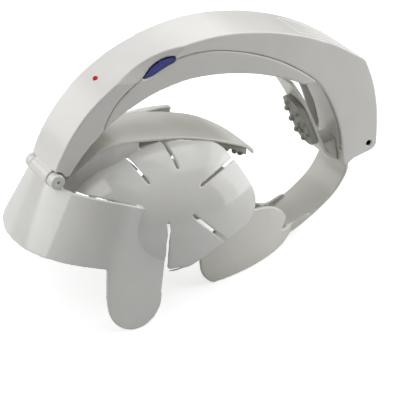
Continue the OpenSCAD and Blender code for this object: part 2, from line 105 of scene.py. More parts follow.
# finger, pads and hinge discs
FINGER_T, FINGER_WALL = 2.3, 2.4     # of the crown finger and of the rear finger
PAD_T, NUB_R, NUB_RISE = 4.4, 2.2, 0.8
CROWN_PAD_LOW, CROWN_NUB_LOW, CROWN_NUB_R = 6.4, 7.2, 2.3
CROWN_PAD_X = (102, 158)
CROWN_PAD_PLAN = [(0, 122, 18.6), (0, 142, 14.4)]                    # y, x, r
REAR_PAD_PLAN = [(0, -42, 10.3), (0, -18.4, 10.0)]                   # y, z, r
REAR_PAD_Z = (-56, -3)
DISC_R, DISC_Y, NECK_Y = 5.05, (10.9, 17.8), (11.5, 16.0)
DISC_ROOM_R, DISC_ROOM_Y = 6.0, (10.7, 19.0)
PIN_HOLE_HALF, DIMPLE_R, DIMPLE_Y = 16.9, 1.2, (17.2, 19)
BAND_ROOM_Z, BAND_ROOM_ARC, BAND_ROOM_X = (-16.0, -1.0), (13.9, 32.0), -14
WEB_X, WEB_T = (4, 62), 2.2
WEB_SINK, WEB_LOWEST, WEB_LEAST = 1.2, -20.0, 1.0                    # into its neighbours, z, height
SIDE_FILL_T = 4.4

# reach of the tools, wide enough for what they cut
SIDE_Y, TAB_Y, PAD_Y, FILL_Y = (38, 75), (40, 75), (30, 75), (38, 66)
CROWN_Z, CROWN_Y = (-60, 20), 24
REAR_X, REAR_FINGER_Y, REAR_FOOT_Y = (150, 300), 14, 8
ACROSS = 30

# fineness of round shapes
ROD_SIDES, STUD_SIDES, PLAN_SIDES, BAND_STEPS, WEB_STEPS = 72, 48, 40, 12, 30
NUB_BALL, LARGE_BALL = 3, 6

# how the meshes are rounded off
RELAX, PASSES, FEW_PASSES = 0.6, 4, 3
PULLS, REACH, SAME_WAY, SAME_WAY_FADE = 2, 0.55, 0.9, 0.08
FAR, END_SLACK = 9.0, 0.05           # out of every surface's reach, and how far past a curve's end
SHARPEST = 0.4                       # cosine at which a corner of inset() stops growing
ARCH_VOXEL, CLAW_VOXEL, FINGER_VOXEL = 0.62, 0.6, 0.55
HATCH_VOXEL, PAD_VOXEL, REAR_PAD_VOXEL, KEY_VOXEL = 0.5, 0.5, 0.42, 0.3


# ---------------------------------------------------------------- placing
def home(points):
    """Side-view millimetres to row-frame metres."""
    p = np.asarray(points, float)
    c, s = math.cos(PITCH), math.sin(PITCH)
    return np.stack([p[:, 0] * c - p[:, 2] * s - ORIGIN_X, p[:, 1],
                     p[:, 0] * s + p[:, 2] * c + HINGE_Z], 1) / 1000


def away(points):
    """Row-frame metres to side-view millimetres."""
    p = np.asarray(points, float) * 1000
    c, s = math.cos(PITCH), math.sin(PITCH)
    x, z = p[:, 0] + ORIGIN_X, p[:, 2] - HINGE_Z
    return np.stack([x * c + z * s, p[:, 1], z * c - x * s], 1)


def span(side, a, b):
    """Range of y that runs outwards from a to b, on the side of side."""
    return (a, b) if side > 0 else (-b, -a)


def half_w(x):
    """Half width of the tapered arch."""
    return ARCH_HALF + ARCH_TAPER * np.maximum(x, 0)


def near_face(points):
    """Points given from the near face of the arch, +y into the arch."""
    p = np.asarray(points, float)
    a = math.atan(ARCH_TAPER)
    return np.stack([p[:, 0] * math.cos(a) + p[:, 1] * math.sin(a),
                     -ARCH_HALF - p[:, 0] * math.sin(a) + p[:, 1] * math.cos(a), p[:, 2]], 1)


def local(points, mid, angle):
    """Points given round a place on the side view, x along the given angle."""
    p = np.asarray(points, float)
    c, s = math.cos(math.radians(angle)), math.sin(math.radians(angle))
    return np.stack([mid[0] + p[:, 0] * c - p[:, 2] * s, p[:, 1], mid[1] + p[:, 0] * s + p[:, 2] * c], 1)


# ---------------------------------------------------------------- side-view curves
def turn(p, heading, r, sweep, n):
    """Points of an arc that starts at p, heads along heading and turns right by sweep degrees."""
    out = []
    a0 = math.radians(heading)
    for i in range(1, n + 1):
        a1 = a0 - math.radians(sweep * i / n)
        out.append((p[0] + r * (math.sin(a0) - math.sin(a1)), p[1] + r * (math.cos(a1) - math.cos(a0))))
    return out


def arcs(start, heading, segments, n=36):
    """Chain of arcs that each turn right, given by radius and sweep."""
    out = [tuple(start)]
    for r, sweep in segments:
        out += turn(out[-1], heading, r, sweep, n)
        heading -= sweep
    return out


def smooth(points, n=14):
    """Catmull-Rom curve through the points."""
    p = [np.array(q, float) for q in points]
    out = [p[0]]
    last = len(p) - 1
    for i in range(last):
        a, b, c, d = p[max(i - 1, 0)], p[i], p[i + 1], p[min(i + 2, last)]
        for k in range(1, n + 1):
            t = k / n
            out.append(0.5 * (2 * b + (c - a) * t + (2 * a - 5 * b + 4 * c - d) * t * t
                              + (3 * b - a - 3 * c + d) * t ** 3))
    return [tuple(q) for q in out]


def shift(line, d):
    """Line moved sideways by d, to the right of its direction."""
    p = np.array(line, float)
    t = np.gradient(p, axis=0)
    t /= np.linalg.norm(t, axis=1)[:, None]
    return [tuple(q) for q in p + d * np.stack([t[:, 1], -t[:, 0]], 1)]


CREST = (244, 15.5)                  # corner between the top and the rear end of the arch
OUTER = arcs((0, 0), 70.2, [(97.8, 48.93), (146.9, 31.19), (233.8, 29.57)])
BACK = arcs(CREST, -62.65, [(125.4, 26.22)])
FOOT = [(258.5, -54.5), (257.9, -57.4), (256.1, -59.6), (253.3, -60.5), (238.5, -62.6), (231.7, -67.35)]
REAR_EDGE = arcs((204.4, 9.3), -53.57, [(123.6, 35.49)])
INNER = arcs((11.5, -2.5), 53.45, [(109.2, 63.14), (200.5, 23.2)])
SEAM = arcs((SEAM_X, 23.2), 72.35, [(42.2, 37.94), (83.8, 49.98), (184.2, 29.6)])
KEY_TIP = (66.3, 51.1)
KEY = ([KEY_TIP] + turn(KEY_TIP, 50.1, 29.8, 55.3, 24)
       + [(91.45, 57.5), (84.7, 55.8), (79.1, 53.8), (73.2, 51.7)])
REAR_GAP = [(200, 5), (210.5, 6.5), (220, -3), (229, -22), (235, -42), (243.3, -54), (243.3, -80),
            (226, -80), (220, -60), (212, -20)]
FINGER_TOP = smooth([(2.5, -10.8), (9, -8.4), (18, -2.6), (28, 5), (36, 10.4), (46, 12.4), (60, 10.6),
                     (78, 6.4), (96, 1.6), (112, -4.4), (125, -10), (138, -17.2), (150, -25.6),
                     (160, -35.2), (165.5, -42)])
REAR_NUBS = ((7.4, -22.6), (7.6, -31.4), (6.2, -41.0), (0.4, -46.4), (-6.4, -40.4), (-7.4, -30.2),
             (0.2, -33.6), (2.4, -26.2), (-4.0, -21.6), (2.6, -14.6), (0.0, -39.6))          # y, z
CROWN_NUBS = ((112, 13), (123.5, 15), (132.5, 14.5), (141, 12.5), (148, 8.5), (118, 4), (130, 5),
              (141, 3), (152, 0))                                                            # x, y
PLATE_LINE = smooth([(212, 1), (217, -8.4), (222, -19), (226.2, -29), (229.6, -41), (232.2, -54),
                     (235, -68), (234, -76), (225.5, -87.6), (213.5, -96), (203, -101.4), (192, -106.2),
                     (180, -109), (168, -109.2), (160, -109)])
REAR_FINGER = smooth([(231.6, -67.4), (225, -63), (219.6, -56), (214.2, -45), (208.4, -31), (200.9, -14),
                      (193, 0.2), (187.4, 8.8)])
REAR_FINGER_FRONT = [(-6, -72), (6, -72), (9.4, -60), (11.4, -46), (11.5, 12), (-11.5, 12), (-11.4, -46),
                     (-9.4, -60)]                                                            # y, z
REAR_FOOT = [(216.8, -50), (225, -62.4), (231.8, -67), (234.6, -70), (232.6, -56), (231.6, -50)]
DISC_NECK = [(3.4, -3.2), (7.0, -3.2), (6.4, -12), (3.4, -12)]
WEB_PLAN = ((4, 8.6), (9, 9.2), (18, 12.6), (34, 15.0), (44, 18.0), (56, 18.6), (64, 18.8))  # x, y
SIDE_FILL = [(36, -36), (44, -22), (52, -26), (57.8, -32.5), (56.6, -40), (55.8, -45), (55.5, -51.5),
             (56.0, -58), (56.6, -63), (50, -63), (44, -56), (38, -48)]
PETAL_FILL = [(60.3, -40), (59.3, -46), (58.9, -52), (59.2, -58), (60.0, -63.4), (61.2, -69.3),
              (62.4, -72.6), (63.6, -73.3), (67.4, -73.7), (72, -73.4), (72, -60), (66, -42)]
SIDE_SLOT = [(59.6, -32.4), (58.6, -40), (57.5, -46), (57.0, -52), (57.3, -59), (57.6, -63),
             (56.6, -67), (56.2, -76), (61.4, -76), (61.2, -69.3), (60.0, -63.4), (59.2, -58),
             (58.9, -52), (59.3, -46), (60.3, -40), (61.2, -32.4)]
UNDER_PETAL = [(57, -73.5), (63.6, -73.5), (67.4, -73.9), (74.2, -74.6), (74.2, -90), (57, -90)]
TAB_CUT = [(2, -53.2), (11.2, -52.9), (14.9, -54.2), (13.0, -63.3), (11.2, -73), (10.3, -80), (2, -80)]


def inset(outline, d):
    """Closed outline moved inwards by d, for an outline that runs clockwise."""
    p = np.array(outline, float)
    before, after = np.roll(p, 1, 0), np.roll(p, -1, 0)
    e0, e1 = p - before, after - p
    n0 = np.stack([e0[:, 1], -e0[:, 0]], 1) / np.linalg.norm(e0, axis=1)[:, None]
    n1 = np.stack([e1[:, 1], -e1[:, 0]], 1) / np.linalg.norm(e1, axis=1)[:, None]
    n = n0 + n1
    n /= np.maximum(np.linalg.norm(n, axis=1), 1e-6)[:, None]
    grow = 1 / np.maximum((n * n0).sum(1), SHARPEST)
    return [tuple(q) for q in p + d * n * grow[:, None]]


# ---------------------------------------------------------------- meshes
def raw_mesh(points, faces):
    """Mesh from points and faces."""
    me = bpy.data.meshes.new("raw")
    me.from_pydata([tuple(map(float, p)) for p in points], [], faces)
    me.update()
    return me


def held(me):
    """Object that holds a mesh while it is worked on."""
    o = bpy.data.objects.new("held", me)
    scene.collection.objects.link(o)
    return o


def solved(o):
    """Mesh of an object with its modifiers applied."""
    bpy.context.view_layer.update()
    return bpy.data.meshes.new_from_object(o.evaluated_get(bpy.context.evaluated_depsgraph_get()))


def combined(me, tools, operation):
    """Mesh after one boolean with each of the tools in turn."""
    o = held(me)
    parts = [held(t) for t in tools]
    for t in parts:
        m = o.modifiers.new("cut", "BOOLEAN")
        m.operation, m.solver, m.object = operation, "EXACT", t
    out = solved(o)
    for q in [o] + parts:
        bpy.data.objects.remove(q)
    return out


def outward(me):
    """Mesh with doubled points joined and its faces turned outwards."""
    bm = bmesh.new()
    bm.from_mesh(me)
    bmesh.ops.remove_doubles(bm, verts=bm.verts, dist=1e-4)
    bmesh.ops.recalc_face_normals(bm, faces=bm.faces)
    bm.to_mesh(me)
    bm.free()
    return me


def prism_faces(n):
    """Faces between two rings of n points."""
    return ([tuple(range(n)), tuple(range(2 * n - 1, n - 1, -1))]
            + [(i, i + n, (i + 1) % n + n, (i + 1) % n) for i in range(n)])


def prism(outline, lo, hi):
    """Side-view outline spread from y = lo(x) to y = hi(x)."""
    pts = [(x, y(x), z) for y in (lo, hi) for x, z in outline]
    return outward(raw_mesh(pts, prism_faces(len(outline))))


def wedge(outline, inside=0.0):
    """Side-view outline over the tapered width of the arch."""
    return prism(outline, lambda x: -half_w(x) + inside, lambda x: half_w(x) - inside)


def slab(outline, y0, y1):
    """Side-view outline of even width."""
    return prism(outline, lambda x: y0, lambda x: y1)


def circle(r, n):
    """Points round a circle at the origin."""
    return [(r * math.cos(2 * math.pi * i / n), r * math.sin(2 * math.pi * i / n)) for i in range(n)]


def rod(p, r, y0, y1):
    """Cylinder along Y at a side-view place."""
    return slab([(p[0] + a, p[1] + b) for a, b in circle(r, ROD_SIDES)], y0, y1)


def stud(mid, angle, y, r, w0, w1):
    """Cylinder square to a place on the side view."""
    ring = circle(r, STUD_SIDES)
    pts = local([(a, y + b, w) for w in (w0, w1) for a, b in ring], mid, angle)
    return outward(raw_mesh(pts, prism_faces(len(ring))))


def brick(box, place):
    """Box given as from and to along x, y and z, set down by place()."""
    u0, u1, v0, v1, w0, w1 = box
    pts = place([(u, v, w) for u in (u0, u1) for v in (v0, v1) for w in (w0, w1)])
    faces = [(0, 1, 3, 2), (4, 6, 7, 5), (0, 4, 5, 1), (2, 3, 7, 6), (0, 2, 6, 4), (1, 5, 7, 3)]
    return outward(raw_mesh(pts, faces))


def ball(centre, r, divisions=NUB_BALL):
    """Ball of triangles."""
    bm = bmesh.new()
    bmesh.ops.create_icosphere(bm, subdivisions=divisions, radius=r,
                               matrix=Matrix.Translation(Vector(centre)))
    me = bpy.data.meshes.new("ball")
    bm.to_mesh(me)
    bm.free()
    return me


def panel(outline):
    """Front-view outline (y, z) spread along X through the rear claw."""
    return outward(raw_mesh([(x, y, z) for x in REAR_X for y, z in outline], prism_faces(len(outline))))


def rounded(circles):
    """Convex outline round circles, each given by its centre and radius."""
    pts = [(u + a, v + b) for u, v, r in circles for a, b in circle(r, PLAN_SIDES)]
    pts = sorted(set((round(a, 4), round(b, 4)) for a, b in pts))

    def half(seq):
        """One side of the convex outline of sorted points."""
        out = []
        for q in seq:
            while len(out) > 1 and ((out[-1][0] - out[-2][0]) * (q[1] - out[-2][1])
                                    - (out[-1][1] - out[-2][1]) * (q[0] - out[-2][0])) <= 0:
                out.pop()
            out.append(q)
        return out[:-1]
    return half(pts) + half(pts[::-1])


def node_mesh(name):
    """Copy of a CAD node's mesh in side-view millimetres."""
    src = NODES[name].data
    co = np.empty(len(src.vertices) * 3)
    src.vertices.foreach_get("co", co)
    return outward(raw_mesh(away(co.reshape(-1, 3)), [tuple(p.vertices) for p in src.polygons]))


# ---------------------------------------------------------------- true surfaces of moulded faces
# Each returns a function that gives the distance to the surface and its normal at every point.
def plane(point, normal):
    """Flat face."""
    n = np.array(normal, float) / np.linalg.norm(normal)
    return lambda p: ((p - np.array(point, float)) @ n, np.broadcast_to(n, p.shape))


def sphere(centre, r):
    """Round face."""
    def near(p):
        d = p - np.array(centre, float)
        k = np.linalg.norm(d, axis=1)
        return k - r, d / k[:, None]
    return near


def ellipsoid(inside):
    """Face of the petals over the head."""
    half = HEAD_HALF - inside

    def near(p):
        q = (p - HEAD_C) / half
        k = np.linalg.norm(q, axis=1)
        g = q / half
        gn = np.linalg.norm(g, axis=1)
        return (k - 1) * k / gn, g / gn[:, None]
    return near


def lean_cone(inside):
    """Leaning cone of the band before the forehead."""
    def near(p):
        drop = p[:, 2] - BAND_TOP
        dx = p[:, 0] - (BAND_R + BAND_LEAN * drop)
        rho = np.hypot(dx, p[:, 1])
        f = rho - (BAND_R - BAND_FLARE * drop - inside)
        g = np.stack([dx / rho, p[:, 1] / rho, BAND_FLARE - BAND_LEAN * dx / rho], 1)
        gn = np.linalg.norm(g, axis=1)
        return np.where(dx < 0, f / gn, FAR), g / gn[:, None]
    return near


def temple(sign, inside):
    """Flat side of the band, on the side of sign."""
    n = np.array([0.0, sign, BAND_FLARE])
    n /= np.linalg.norm(n)

    def near(p):
        behind = p[:, 0] > BAND_R + BAND_LEAN * (p[:, 2] - BAND_TOP)
        d = (p - np.array([0, sign * BAND_R, BAND_TOP])) @ n + inside
        return np.where(behind, d, FAR), np.broadcast_to(n, p.shape)
    return near


def lobe_cone(sign, inside):
    """Cone of a rear lobe, on the side of sign."""
    def near(p):
        dx, dy = p[:, 0] - LOBE_X, p[:, 1] + sign * (LOBE_R - LOBE_HALF)
        rho = np.hypot(dx, dy)
        f = rho - (LOBE_R - inside + LOBE_SLOPE * (p[:, 2] - LOBE_FOOT))
        g = np.stack([dx / rho, dy / rho, np.full(len(p), -LOBE_SLOPE)], 1)
        gn = np.linalg.norm(g, axis=1)
        return f / gn, g / gn[:, None]
    return near


def along(line):
    """Side-view curve spread along Y."""
    q = np.array(line, float)
    a, b = q[:-1], q[1:]
    ab = b - a
    size = (ab ** 2).sum(1)

    def near(p):
        best = np.full(len(p), 1e9)
        n = np.zeros((len(p), 3))
        s = np.zeros(len(p))
        xz = p[:, [0, 2]]
        for i in range(len(a)):
            t = np.clip(((xz - a[i]) @ ab[i]) / size[i], 0, 1)
            d = xz - a[i] - t[:, None] * ab[i]
            k = (d ** 2).sum(1)
            m = k < best
            best[m] = k[m]
            normal = np.array([-ab[i][1], ab[i][0]]) / math.sqrt(size[i])
            s[m] = (d @ normal)[m]
            n[m, 0], n[m, 2] = normal
        beside = np.abs(np.sqrt(best) - np.abs(s)) < END_SLACK
        return np.where(beside, s, FAR), n
    return near


def corners_of(me):
    """Vertex places of a mesh."""
    co = np.empty(len(me.vertices) * 3)
    me.vertices.foreach_get("co", co)
    return co.reshape(-1, 3)


def face_normals(p, quads):
    """Normal at every vertex, from the quads that meet there."""
    n = np.cross(p[quads[:, 2]] - p[quads[:, 0]], p[quads[:, 3]] - p[quads[:, 1]])
    out = np.zeros_like(p)
    for k in range(4):
        for axis in range(3):
            out[:, axis] += np.bincount(quads[:, k], n[:, axis], len(p))
    return out / np.maximum(np.linalg.norm(out, axis=1), 1e-9)[:, None]


def moulded(me, voxel, surfaces=(), passes=PASSES):
    """Rounds every edge of a closed mesh and brings the broad faces back to their true surfaces."""
    o = held(me)
    m = o.modifiers.new("even", "REMESH")
    m.mode, m.voxel_size = "VOXEL", voxel
    out = solved(o)
    bpy.data.objects.remove(o)
    p = corners_of(out)
    quads = np.empty(len(out.polygons) * 4, int)
    out.polygons.foreach_get("vertices", quads)
    quads = quads.reshape(-1, 4)
    edges = np.empty(len(out.edges) * 2, int)
    out.edges.foreach_get("vertices", edges)
    edges = edges.reshape(-1, 2)
    count = np.bincount(edges.ravel(), minlength=len(p))[:, None]
    for _ in range(passes):
        total = np.zeros_like(p)
        for axis in range(3):
            total[:, axis] = (np.bincount(edges[:, 0], p[edges[:, 1], axis], len(p))
                              + np.bincount(edges[:, 1], p[edges[:, 0], axis], len(p)))
        p = (1 - RELAX) * p + RELAX * total / count
    for _ in range(PULLS if surfaces else 0):
        normals = face_normals(p, quads)
        best = np.full(len(p), 1e9)
        move = np.zeros_like(p)
        for near in surfaces:
            d, n = near(p)
            match = np.abs((normals * n).sum(1))
            ok = (match > SAME_WAY) & (np.abs(d) < REACH) & (np.abs(d) < best)
            soft = np.clip((match - SAME_WAY) / SAME_WAY_FADE, 0, 1)
            soft = soft * soft * (3 - 2 * soft)
            best[ok] = np.abs(d)[ok]
            move[ok] = (-d * soft)[ok, None] * n[ok]
        p = p + move
    out.vertices.foreach_set("co", p.ravel())
    out.update()
    return out


def show(name, me, body, slot, replaces):
    """Places a finished side-view mesh in the row frame as a piece of the object."""
    me.vertices.foreach_set("co", home(corners_of(me)).ravel())
    me.polygons.foreach_set("use_smooth", [True] * len(me.polygons))
    me.update()
    me.name = name
    o = bpy.data.objects.new(name, me)
    scene.collection.objects.link(o)
    me.materials.clear()
    me.materials.append(BY_SLOT[slot])
    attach(o, body)
    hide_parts(*replaces)
    return o


# ---------------------------------------------------------------- materials
GLOSS_SPREAD = (0.85, 1.2)


def node_of(tree, kind, **values):
    """New shader node with values for its inputs or settings."""
    n = tree.nodes.new(kind)
    for key, value in values.items():
        if key in n.inputs:
            n.inputs[key].default_value = value
        else:
            setattr(n, key, value)
    return n


def moulding(name, colour, rough, spread=0.03, bump=0.02, grain=900.0, **fixed):
    """Moulded surface: slight cloudiness in the colour, uneven gloss and a fine skin."""
    mat = bpy.data.materials.new(name)
    mat.use_nodes = True
    tree = mat.node_tree
    link = tree.links.new
    skin = tree.nodes["Principled BSDF"]
    where = tree.nodes.new("ShaderNodeTexCoord")
    cloud = node_of(tree, "ShaderNodeTexNoise", Scale=28.0, Detail=3.0, Roughness=0.55)
    link(where.outputs["Object"], cloud.inputs["Vector"])
    tint = tree.nodes.new("ShaderNodeValToRGB")
    tint.color_ramp.elements[0].position, tint.color_ramp.elements[1].position = 0.3, 0.7
    tint.color_ramp.elements[0].color = (*[c * (1 - spread) for c in colour], 1)
    tint.color_ramp.elements[1].color = (*[min(1, c * (1 + spread)) for c in colour], 1)
    link(cloud.outputs["Fac"], tint.inputs["Fac"])
    link(tint.outputs["Color"], skin.inputs["Base Color"])
    fine = node_of(tree, "ShaderNodeTexNoise", Scale=grain, Detail=2.0, Roughness=0.5)
    link(where.outputs["Object"], fine.inputs["Vector"])
    gloss = node_of(tree, "ShaderNodeMapRange")
    gloss.inputs["To Min"].default_value = rough * GLOSS_SPREAD[0]
    gloss.inputs["To Max"].default_value = rough * GLOSS_SPREAD[1]
    link(cloud.outputs["Fac"], gloss.inputs["Value"])
    link(gloss.outputs["Result"], skin.inputs["Roughness"])
    relief = node_of(tree, "ShaderNodeBump", Strength=bump, Distance=0.0002)
    link(fine.outputs["Fac"], relief.inputs["Height"])
    link(relief.outputs["Normal"], skin.inputs["Normal"])
    for key, value in fixed.items():
        skin.inputs[key.replace("_", " ")].default_value = value
    return mat


BY_SLOT = {
    "shell_gloss": moulding("shell_plastic", (0.70, 0.69, 0.665), 0.2),
    "inner_gloss": moulding("liner_plastic", (0.685, 0.675, 0.645), 0.22),
    "claw_gloss": moulding("claw_plastic", (0.68, 0.675, 0.65), 0.085, Specular_IOR_Level=0.65),
    "finger_plastic": moulding("strip_plastic", (0.685, 0.675, 0.625), 0.2),
    "pad_rubber": moulding("pad_rubber", (0.30, 0.30, 0.26), 0.48, spread=0.08, bump=0.25, grain=1400.0),
    "key_blue": moulding("key_blue", (0.055, 0.06, 0.33), 0.18, spread=0.12, Transmission_Weight=0.25),
    "light_red": moulding("light_red", (0.75, 0.02, 0.03), 0.12, spread=0.1, Transmission_Weight=0.3),
    "diode_red": moulding("diode_red", (0.8, 0.1, 0.08), 0.1, spread=0.05, Transmission_Weight=0.5),
    "black_plastic": moulding("black_plastic", (0.02, 0.02, 0.022), 0.42, spread=0.15, bump=0.15),
    "board_green": moulding("board_green", (0.02, 0.12, 0.05), 0.35, spread=0.2),
    "steel": moulding("steel", (0.55, 0.55, 0.56), 0.28, spread=0.06, bump=0.1, Metallic=1.0),
    "brass": moulding("brass", (0.55, 0.36, 0.12), 0.38, spread=0.1, bump=0.3, Metallic=1.0),
    "cell_wrap": moulding("cell_wrap", (0.04, 0.16, 0.08), 0.22, spread=0.08),
    "cradle_plastic": moulding("cradle_plastic", (0.55, 0.55, 0.52), 0.5, bump=0.2),
}
for part in frame["record"]["subparts"]:
    node = NODES[part["node"]]
    node.data.materials.clear()
    node.data.materials.append(BY_SLOT[part["material_slot"]])


# ---------------------------------------------------------------- arch
def on_cells(points):
    """Points given round the middle of the battery box."""
    return local(points, CELL_MID, CELL_ANG)


def on_key(points):
    """Points given round the key on the near face."""
    return near_face(local(points, KEY_MID, KEY_ANG))


def on_board(points):
    """Points given round the circuit board behind the near face."""
    return near_face(local(points, BOARD_MID, KEY_ANG))


def on_socket(points):
    """Points given round the charging socket."""
    return np.asarray(points, float) + np.array(JACK)


def key_prism(y0, y1, d=0.0):
    """Outline of the key, moved inwards by d, spread from y0 to y1 below the near face."""
    outline = inset(KEY, d)
    pts = near_face([(x, y, z) for y in (y0, y1) for x, z in outline])
    return outward(raw_mesh(pts, prism_faces(len(outline))))


def side_faces(inside):
    """Flat sides of the arch, or of its walls' inner faces."""
    a = math.atan(ARCH_TAPER)
    return [plane((0, s * (ARCH_HALF - inside), 0), (-math.sin(a), s * math.cos(a), 0)) for s in (1, -1)]


def arch_cavities():
    """Room for the moving and loose parts inside the housing."""
    return [rod(FRONT_MOTOR, FRONT_MOTOR_ROOM_R, *MOTOR_ROOM_Y),
            rod(REAR_MOTOR, REAR_MOTOR_ROOM_R, *MOTOR_ROOM_Y),
            brick(PLUNGER_ROOM, on_key), brick(SWITCH_ROOM, on_key),
            brick(BOARD_ROOM, on_board), brick(CELL_ROOM, on_cells)]


def arch_cover():
    """Upper moulding of the housing, with the front barrel and the bosses of the rear hinge."""
    lower = [q for q in INNER if q[0] < SEAM_X]
    outline = OUTER + [CREST] + BACK[1:] + FOOT + REAR_EDGE[:0:-1] + SEAM[::-1] + lower[::-1]
    scoop_mid = near_face([SCOOP_MID])[0]
    catch_y = [float(half_w(CATCH_X)) - d for d in CATCH[2:4]]
    cuts = [wedge(REAR_GAP, SIDE_WALL), ball(scoop_mid, SCOOP_R, LARGE_BALL), key_prism(*KEY_SLOT_Y),
            brick(HATCH_HOLE, on_cells), brick((*CATCH[:2], *catch_y, *CATCH[4:]), on_cells),
            stud(LAMP, LAMP_ANG, LAMP_Y, LAMP_R, -LAMP_HALF, LAMP_HALF),
            rod((JACK[0], JACK[2]), JACK_MOUTH_R, -ACROSS, JACK[1] + JACK_MOUTH_IN),
            brick(SOCKET_ROOM, on_socket)]
    cuts += [rod(FRONT_PIN, BARREL_R + RUN_GAP, *span(s, BARREL_HALF, RUN_END)) for s in (1, -1)]
    body = combined(wedge(outline), cuts + arch_cavities(), "DIFFERENCE")
    adds = [rod(REAR_PIN, BOSS_R, *span(s, BOSS_IN, BOSS_OUT)) for s in (1, -1)]
    adds.append(rod(FRONT_PIN, BARREL_R, -BARREL_HALF, BARREL_HALF))
    body = combined(body, adds, "UNION")
    body = combined(body, [rod(FRONT_PIN, PIN_HOLE_R, -ACROSS, ACROSS)], "DIFFERENCE")
    faces = side_faces(0) + side_faces(SIDE_WALL)
    faces += [along(line) for line in (OUTER, BACK, REAR_EDGE, lower, SEAM)]
    return moulded(body, ARCH_VOXEL, faces + [sphere(scoop_mid, SCOOP_R)])


def arch_liner():
    """Lower moulding of the housing, below the seam."""
    top = [(x, z - SEAM_GAP) for x, z in SEAM]
    low = [q for q in INNER if q[0] > LINER_X]
    body = wedge([(LINER_X, low[0][1])] + [(max(x, LINER_X), z) for x, z in top] + low[::-1])
    cuts = [key_prism(*KEY_SLOT_Y), wedge(REAR_GAP, SIDE_WALL)] + arch_cavities()
    for x, z, angle, wall in SCREWS:
        reach = [d - wall / 2 for d in SCREW_RECESS_W]
        cuts += [stud((x, z), angle, y, SCREW_RECESS_R, *reach) for y in (-SCREW_Y, SCREW_Y)]
    body = combined(body, cuts, "DIFFERENCE")
    return moulded(body, ARCH_VOXEL, side_faces(0) + [along(low), along(top)])


def hatch():
    """Cover of the battery box, part of the arch's own skin."""
    skin = [q for q in OUTER if q[0] > HATCH_X] + [CREST] + BACK[1:HATCH_BACK]
    inside = shift(skin, HATCH_T)
    me = slab(skin + inside[::-1], -HATCH_HALF, HATCH_HALF)
    me = combined(me, [brick(HATCH_BOX, on_cells)], "INTERSECT")
    return moulded(me, HATCH_VOXEL, [along(skin), along(inside)], FEW_PASSES)


show("arch_cover", arch_cover(), "arch", "shell_gloss", ["arch_outer_shell"])
show("arch_liner", arch_liner(), "arch", "inner_gloss", ["arch_inner_shell"])
show("hatch_cover", hatch(), "hatch", "shell_gloss", ["battery_hatch"])
show("blue_key", moulded(key_prism(*KEY_Y, KEY_ROOM), KEY_VOXEL), "mode_key", "key_blue", ["mode_key"])

# ---------------------------------------------------------------- front claw
shell_faces = [ellipsoid(0), ellipsoid(SHELL_T), lean_cone(0), lean_cone(SHELL_T)]
shell_faces += [temple(s, t) for s in (1, -1) for t in (0, SHELL_T)]


def bar(rings):
    """Closed bar through four-cornered rings."""
    n = len(rings)
    faces = [(0, 1, 2, 3), tuple(4 * n - 1 - k for k in range(4))]
    faces += [(4 * i + k, 4 * i + (k + 1) % 4, 4 * i + 4 + (k + 1) % 4, 4 * i + 4 + k)
              for i in range(n - 1) for k in range(4)]
    return outward(raw_mesh([q for ring in rings for q in ring], faces))


def before_band(side):
    """Space in front of the leaning cone beside the hinge barrel."""
    levels = []
    for z in BAND_ROOM_Z:
        drop = z - BAND_TOP
        mid, r = BAND_R + BAND_LEAN * drop, BAND_R - BAND_FLARE * drop
        arc = [(mid - r * math.cos(a), side * r * math.sin(a), z)
               for a in np.radians(np.linspace(*BAND_ROOM_ARC, BAND_STEPS))]
        levels += arc + [(BAND_ROOM_X, arc[-1][1], z), (BAND_ROOM_X, arc[0][1], z)]
    return outward(raw_mesh(levels, prism_faces(len(levels) // 2)))


def root_web(side):
    """Wall under the root of the crown finger, down to the petals."""
    top, plan = np.array(FINGER_TOP), np.array(WEB_PLAN)
    rings = []
    for x in np.linspace(*WEB_X, WEB_STEPS):
        y = float(np.interp(x, plan[:, 0], plan[:, 1]))
        hi = float(np.interp(x, top[:, 0], top[:, 1])) - WEB_SINK
        rest = 1 - ((x - HEAD_C[0]) / HEAD_HALF[0]) ** 2 - (y / HEAD_HALF[1]) ** 2
        lo = max(HEAD_C[2] + HEAD_HALF[2] * math.sqrt(max(rest, 0)) - WEB_SINK, WEB_LOWEST)
        lo = min(lo, hi - WEB_LEAST)
        rings.append([(x, side * y, hi), (x, side * (y - WEB_T), hi),
                      (x, side * (y - WEB_T), lo), (x, side * y, lo)])
    return bar(rings)


def head_ball(inside):
    """Solid of the head surface, smaller by inside."""
    me = ball((0, 0, 0), 1.0, LARGE_BALL)
    me.vertices.foreach_set("co", (corners_of(me) * (HEAD_HALF - inside) + HEAD_C).ravel())
    me.update()
    return me


def side_fill(side, outline, thick):
    """Wall on the head surface over a side-view outline."""
    me = combined(slab(outline, *span(side, *FILL_Y)), [head_ball(0.0)], "INTERSECT")
    return combined(me, [head_ball(thick)], "DIFFERENCE")


